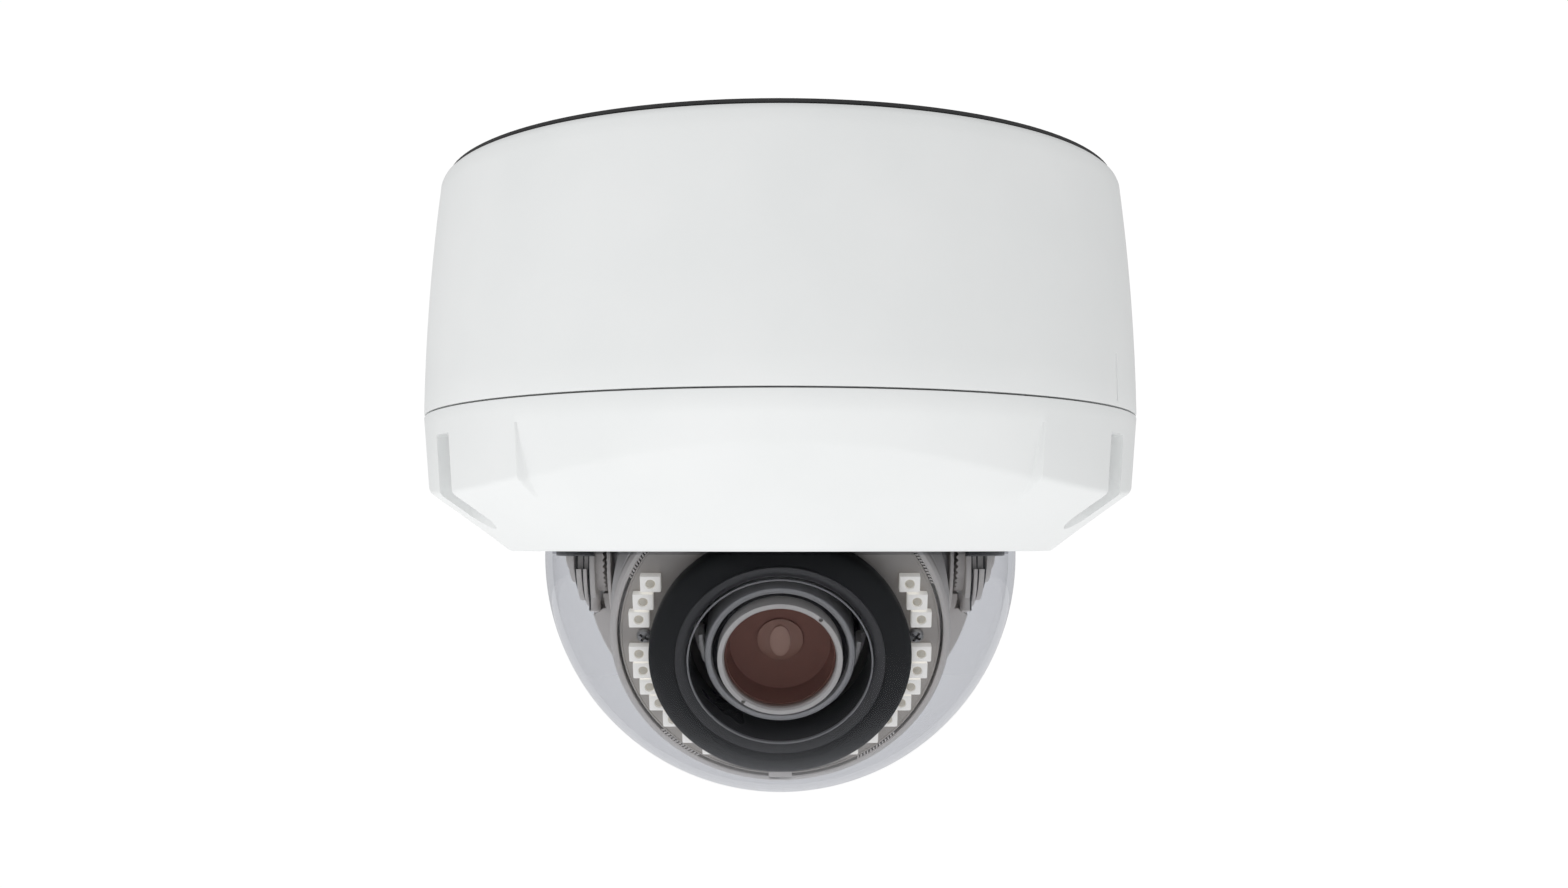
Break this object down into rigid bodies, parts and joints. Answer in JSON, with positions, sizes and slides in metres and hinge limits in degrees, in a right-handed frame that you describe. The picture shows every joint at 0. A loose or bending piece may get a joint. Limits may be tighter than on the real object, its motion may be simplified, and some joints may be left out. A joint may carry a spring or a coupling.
{
  "type": "dome cctv camera",
  "caption": "Surface-mounted dome security camera: round drum, ruled cover ring, clear dome and a pan, tilt and rotate varifocal camera module with infrared LEDs.",
  "frame": {"origin": "centre of the ceiling mounting face, on the drum axis", "axes": "+Z out of the mounting face towards the ceiling, -Y the front that the lens faces, +X to the right seen from the front"},
  "size_m": [0.15, 0.15, 0.128],
  "materials": {
    "white_paint": "fine satin powder coat on die-cast aluminium",
    "seal_rubber": "matt black EPDM",
    "zinc_plate": "zinc-plated sheet steel",
    "screw_steel": "machined stainless steel",
    "heatsink_aluminium": "black anodised",
    "black_plastic": "fine-grained black moulding",
    "board_green": "green solder resist",
    "clear_dome": "clear polycarbonate with a faint violet-grey tint, polished",
    "taupe_plastic": "warm grey painted moulding, satin",
    "silver_housing": "satin silver-grey paint",
    "led_board_finish": "warm grey satin board cover with off-white emitters",
    "shroud_rubber": "soft black silicone, matt with a glossy inner chamfer",
    "lens_black": "black glass-filled nylon",
    "lens_grey": "dark grey anodised",
    "lens_glass": "coated optical glass with a red-brown reflection"
  },
  "bodies": {
    "root": {"back_box": "white_paint", "mounting_gasket": "seal_rubber", "cable_grommet": "seal_rubber", "conduit_plug": "white_paint", "cover_seal": "seal_rubber", "chassis_plate": "zinc_plate", "main_board": "board_green", "chassis_screw_1": "screw_steel", "chassis_screw_2": "screw_steel", "chassis_screw_3": "screw_steel", "board_standoff_1": "screw_steel", "board_standoff_2": "screw_steel", "board_standoff_3": "screw_steel", "board_screw_1": "screw_steel", "board_screw_2": "screw_steel", "board_screw_3": "screw_steel", "processor_heatsink": "heatsink_aluminium", "network_jack": "screw_steel", "power_terminal": "black_plastic", "supply_capacitor": "black_plastic", "cover": "white_paint", "dome_bubble": "clear_dome", "dome_gasket": "seal_rubber", "dome_clamp_ring": "zinc_plate", "cover_screw_1": "screw_steel", "cover_screw_2": "screw_steel", "cover_screw_3": "screw_steel", "clamp_screw_1": "screw_steel", "clamp_screw_2": "screw_steel", "clamp_screw_3": "screw_steel"},
    "pan_stage": {"pan_base": "black_plastic", "pan_retainer": "zinc_plate", "yoke_right": "taupe_plastic", "yoke_left": "taupe_plastic", "pan_lock_screw": "screw_steel"},
    "tilt_stage": {"tilt_ring": "taupe_plastic", "tilt_ratchet_right": "taupe_plastic", "tilt_ratchet_left": "taupe_plastic", "tilt_pivot_right": "screw_steel", "tilt_pivot_left": "screw_steel"},
    "camera_module": {"module_housing": "silver_housing", "ir_bezel": "taupe_plastic", "led_board": "led_board_finish", "led_board_screw_right": "screw_steel", "led_board_screw_left": "screw_steel", "lens_shroud": "shroud_rubber", "sensor_board": "board_green", "lens_mount": "lens_black", "ir_cut_filter": "lens_glass", "lens_barrel": "lens_grey", "retaining_ring": "silver_housing", "front_element": "lens_glass", "rear_element": "lens_glass"},
    "zoom_control": {"zoom_ring": "lens_black", "zoom_lever": "screw_steel"},
    "focus_control": {"focus_ring": "lens_black", "focus_lever": "screw_steel"}
  },
  "joints": [
    {"name": "pan", "type": "hinge", "parent": "root", "child": "pan_stage", "pos_m": [0, 0, -0.034], "axis": [0, 0, 1], "range_deg": [-175, 175]},
    {"name": "tilt", "type": "hinge", "parent": "pan_stage", "child": "tilt_stage", "pos_m": [0, 0, -0.078], "axis": [1, 0, 0], "range_deg": [-15, 65]},
    {"name": "image_rotation", "type": "hinge", "parent": "tilt_stage", "child": "camera_module", "pos_m": [0, 0.00161, -0.08144], "axis": [0, -0.9063, -0.4226], "range_deg": [-90, 90]},
    {"name": "zoom", "type": "hinge", "parent": "camera_module", "child": "zoom_control", "pos_m": [0, 0.00161, -0.08144], "axis": [0, -0.9063, -0.4226], "range_deg": [-35, 35]},
    {"name": "focus", "type": "hinge", "parent": "camera_module", "child": "focus_control", "pos_m": [0, 0.00161, -0.08144], "axis": [0, -0.9063, -0.4226], "range_deg": [-35, 35]}
  ]
}
